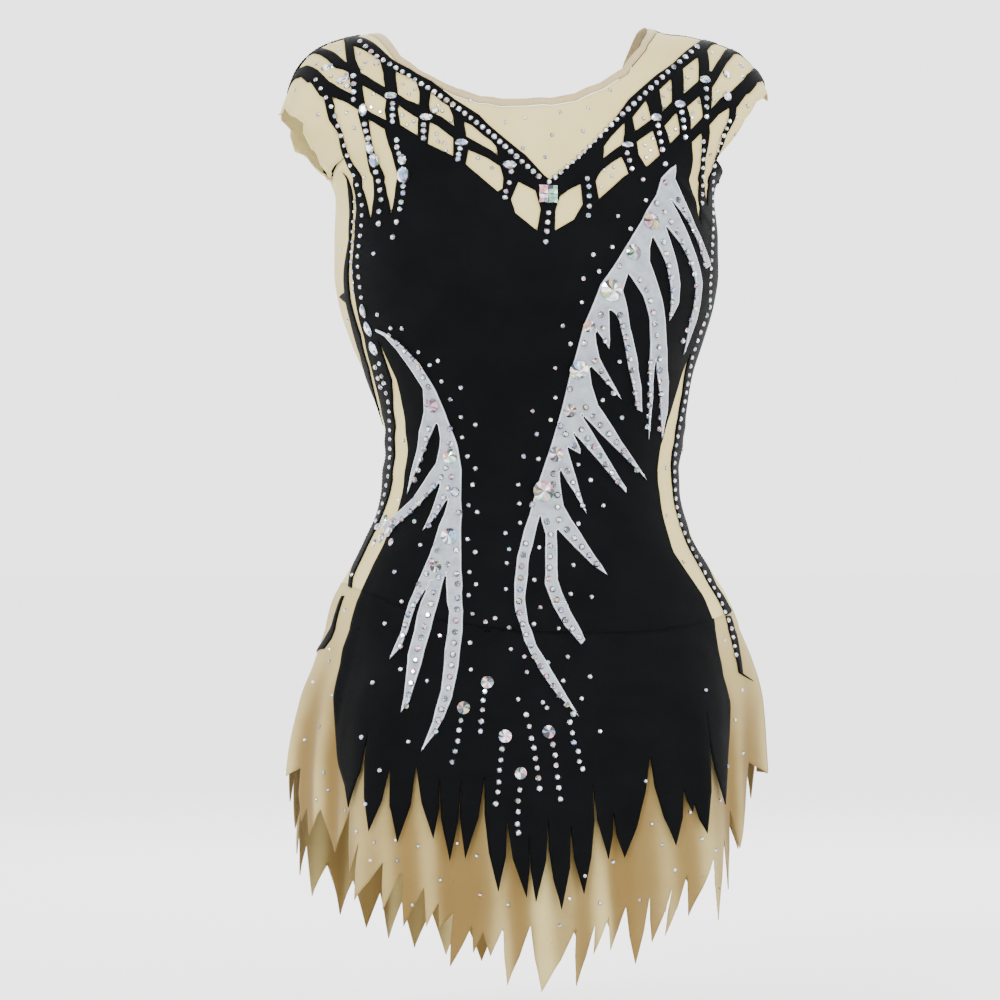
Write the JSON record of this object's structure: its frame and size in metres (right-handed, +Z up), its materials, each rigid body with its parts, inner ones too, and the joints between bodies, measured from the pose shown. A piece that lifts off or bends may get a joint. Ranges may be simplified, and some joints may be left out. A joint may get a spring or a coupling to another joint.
{
  "type": "gymnastics leotard",
  "caption": "Short-sleeved leotard with a cutwork yoke, side slits, a pointed two-layer skirt and a brief, filled out as when worn.",
  "frame": {"origin": "between the shoulders, level with the neck end of the shoulder seams, where the wearer holds the garment up", "axes": "+Z up, -Y the front of the garment, +X the wearer's left"},
  "size_m": [0.3986, 0.3051, 0.7632],
  "materials": {
    "nude_mesh": "matte",
    "black_lycra": "satin",
    "white_satin": "satin",
    "crystal": "gloss"
  },
  "bodies": {
    "root": {"yoke_front": "nude_mesh", "sleeve_left": "nude_mesh", "sleeve_right": "nude_mesh", "side_left": "nude_mesh", "side_right": "nude_mesh", "neck_binding_front": "nude_mesh", "neck_binding_back": "nude_mesh", "front_body": "black_lycra", "back_body": "black_lycra", "side_line_left": "black_lycra", "skirt_black": "black_lycra", "skirt_nude_front": "nude_mesh", "skirt_nude_back": "nude_mesh", "stripe_end_left": "black_lycra", "stripe_end_right": "black_lycra", "brief_front": "nude_mesh", "brief_back": "nude_mesh", "flame_right": "white_satin", "flame_left": "white_satin", "stone_neck": "crystal", "stone_flame_right_1": "crystal", "stone_flame_right_2": "crystal", "stone_flame_right_3": "crystal", "stone_flame_right_4": "crystal", "stone_flame_right_5": "crystal", "stone_flame_right_6": "crystal", "stone_flame_right_7": "crystal", "stone_flame_right_8": "crystal", "stone_flame_left_1": "crystal", "stone_flame_left_2": "crystal", "stone_flame_left_3": "crystal", "stone_flame_left_4": "crystal", "stone_skirt_1": "crystal", "stone_skirt_2": "crystal", "stone_skirt_3": "crystal", "stone_skirt_4": "crystal", "stone_skirt_5": "crystal"}
  },
  "joints": []
}
